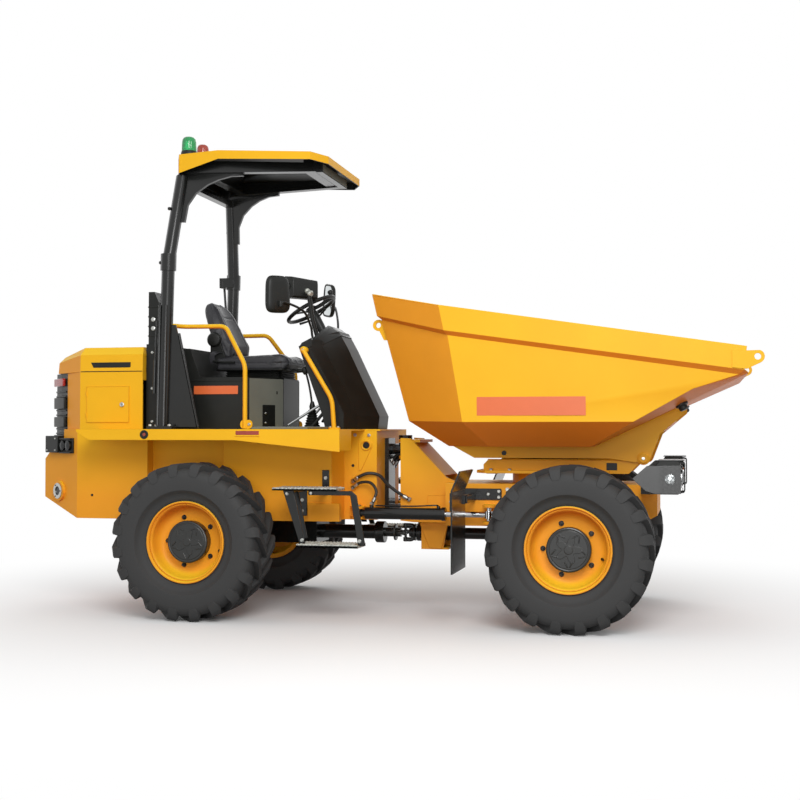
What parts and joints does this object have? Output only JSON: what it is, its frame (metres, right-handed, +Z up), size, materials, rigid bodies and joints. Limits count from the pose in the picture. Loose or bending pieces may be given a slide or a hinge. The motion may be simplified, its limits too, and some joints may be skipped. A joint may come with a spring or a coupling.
{
  "type": "articulated swivel-skip dump truck",
  "caption": "Articulated site dumper: hinged two-part chassis, canopied driver's deck over a rear engine, and a swivelling, tipping front skip on large tyres.",
  "frame": {"origin": "on the ground, at the middle of the bounding box in X and Y", "axes": "+X forward towards the skip's lip, +Y to the driver's left, +Z up"},
  "size_m": [5.197, 2.205, 3.4476],
  "materials": {
    "body_yellow": "gloss paint",
    "black_paint": "satin black paint",
    "dark_plastic": "matte",
    "tyre_rubber": "matte",
    "galvanised": "galvanised",
    "chromed_steel": "hard chrome",
    "seat_vinyl": "vinyl",
    "green_lens": "clear lens",
    "amber_lens": "clear lens",
    "cast_iron": "as cast"
  },
  "bodies": {
    "rear_chassis": {"beacon_amber": "amber_lens", "beacon_green": "green_lens", "bulkhead": "dark_plastic", "canopy_roof": "body_yellow", "centre_pivot": "black_paint", "console": "dark_plastic", "console_rail_left": "body_yellow", "console_rail_right": "body_yellow", "deck": "body_yellow", "display_unit": "dark_plastic", "engine_block": "cast_iron", "engine_housing": "body_yellow", "gear_lever": "dark_plastic", "intake_stack": "dark_plastic", "mirror_left": "dark_plastic", "mirror_right": "dark_plastic", "rear_axle": "black_paint", "rear_frame": "body_yellow", "rear_grille": "dark_plastic", "rops_frame": "black_paint", "seat_back": "seat_vinyl", "seat_box": "dark_plastic", "seat_cushion": "seat_vinyl", "seat_rail_left": "body_yellow", "seat_rail_right": "body_yellow", "steering_column": "dark_plastic", "step_left": "galvanised", "step_right": "galvanised"},
    "front_chassis": {"front_frame": "body_yellow", "front_axle": "black_paint", "headlight_left": "dark_plastic", "headlight_right": "dark_plastic", "mudflap_left": "black_paint", "mudflap_right": "black_paint"},
    "turntable": {"turntable": "body_yellow"},
    "skip": {"skip_body": "body_yellow", "skip_frame": "body_yellow"},
    "tip_barrel": {"tip_barrel": "black_paint"},
    "tip_rod": {"tip_rod": "chromed_steel"},
    "engine_cover": {"engine_cover": "body_yellow"},
    "steering_wheel": {"steering_wheel": "dark_plastic"},
    "steer_barrel_left": {"steer_barrel_left": "black_paint"},
    "steer_rod_left": {"steer_rod_left": "chromed_steel"},
    "side_hatch_left": {"side_hatch_left": "body_yellow"},
    "wheel_front_left": {"tyre_front_left": "tyre_rubber", "wheel_front_left": "body_yellow"},
    "wheel_rear_left": {"tyre_rear_left": "tyre_rubber", "wheel_rear_left": "body_yellow"},
    "steer_barrel_right": {"steer_barrel_right": "black_paint"},
    "steer_rod_right": {"steer_rod_right": "chromed_steel"},
    "side_hatch_right": {"side_hatch_right": "body_yellow"},
    "wheel_front_right": {"tyre_front_right": "tyre_rubber", "wheel_front_right": "body_yellow"},
    "wheel_rear_right": {"tyre_rear_right": "tyre_rubber", "wheel_rear_right": "body_yellow"}
  },
  "joints": [
    {"name": "steer", "type": "hinge", "parent": "rear_chassis", "child": "front_chassis", "pos_m": [0.0945, 0, 0.93], "axis": [0, 0, 1], "range_deg": [-33, 33]},
    {"name": "skip_swivel", "type": "hinge", "parent": "front_chassis", "child": "turntable", "pos_m": [1.2215, 0, 1], "axis": [0, 0, -1], "range_deg": [-90, 90]},
    {"name": "skip_tip", "type": "hinge", "parent": "turntable", "child": "skip", "pos_m": [1.8315, 0, 1.106], "axis": [0, 1, 0], "range_deg": [0, 55]},
    {"name": "roll_rear_right", "type": "hinge", "parent": "rear_chassis", "child": "wheel_rear_right", "pos_m": [-1.1985, -0.9, 0.5375], "axis": [0, 1, 0], "continuous": true},
    {"name": "roll_rear_left", "type": "hinge", "parent": "rear_chassis", "child": "wheel_rear_left", "pos_m": [-1.1985, 0.9, 0.5375], "axis": [0, 1, 0], "continuous": true},
    {"name": "roll_front_right", "type": "hinge", "parent": "front_chassis", "child": "wheel_front_right", "pos_m": [1.3875, -0.9, 0.5375], "axis": [0, 1, 0], "continuous": true},
    {"name": "roll_front_left", "type": "hinge", "parent": "front_chassis", "child": "wheel_front_left", "pos_m": [1.3875, 0.9, 0.5375], "axis": [0, 1, 0], "continuous": true},
    {"name": "steer_barrel_turn_right", "type": "hinge", "parent": "rear_chassis", "child": "steer_barrel_right", "pos_m": [-0.1485, -0.45, 0.715], "axis": [0, 0, 1], "range_deg": [-23.6, 23.6]},
    {"name": "steer_rod_slide_right", "type": "slide", "parent": "steer_barrel_right", "child": "steer_rod_right", "axis": [1, 0, 0], "range_m": [-0.2535, 0.2535]},
    {"name": "steer_barrel_turn_left", "type": "hinge", "parent": "rear_chassis", "child": "steer_barrel_left", "pos_m": [-0.1485, 0.45, 0.715], "axis": [0, 0, 1], "range_deg": [-23.6, 23.6]},
    {"name": "steer_rod_slide_left", "type": "slide", "parent": "steer_barrel_left", "child": "steer_rod_left", "axis": [1, 0, 0], "range_m": [-0.2535, 0.2535]},
    {"name": "tip_barrel_turn", "type": "hinge", "parent": "turntable", "child": "tip_barrel", "pos_m": [0.7615, 0, 1.03], "axis": [0, -1, 0], "range_deg": [0, 13.2]},
    {"name": "tip_rod_slide", "type": "slide", "parent": "tip_barrel", "child": "tip_rod", "axis": [0.9921, 0, 0.1256], "range_m": [0, 0.17]},
    {"name": "cover_open", "type": "hinge", "parent": "rear_chassis", "child": "engine_cover", "pos_m": [-2.4885, 0, 1.7205], "axis": [0, -1, 0], "range_deg": [0, 60]},
    {"name": "hatch_open_right", "type": "hinge", "parent": "rear_chassis", "child": "side_hatch_right", "pos_m": [-2.1355, -0.6563, 1.4845], "axis": [0, 0, -1], "range_deg": [0, 100]},
    {"name": "hatch_open_left", "type": "hinge", "parent": "rear_chassis", "child": "side_hatch_left", "pos_m": [-2.1355, 0.6563, 1.4845], "axis": [0, 0, 1], "range_deg": [0, 100]},
    {"name": "steering_wheel_spin", "type": "hinge", "parent": "rear_chassis", "child": "steering_wheel", "pos_m": [-0.6329, 0, 2.20444], "axis": [-0.48, 0, 0.8773], "continuous": true}
  ],
  "couplings": [
    {"joint": "steer_barrel_turn_right", "follows": "steer", "ratio": 0.71},
    {"joint": "steer_rod_slide_right", "follows": "steer", "m_per_rad": 0.439},
    {"joint": "steer_barrel_turn_left", "follows": "steer", "ratio": 0.71},
    {"joint": "steer_rod_slide_left", "follows": "steer", "m_per_rad": -0.439},
    {"joint": "tip_barrel_turn", "follows": "skip_tip", "ratio": 0.239},
    {"joint": "tip_rod_slide", "follows": "skip_tip", "m_per_rad": 0.176}
  ]
}
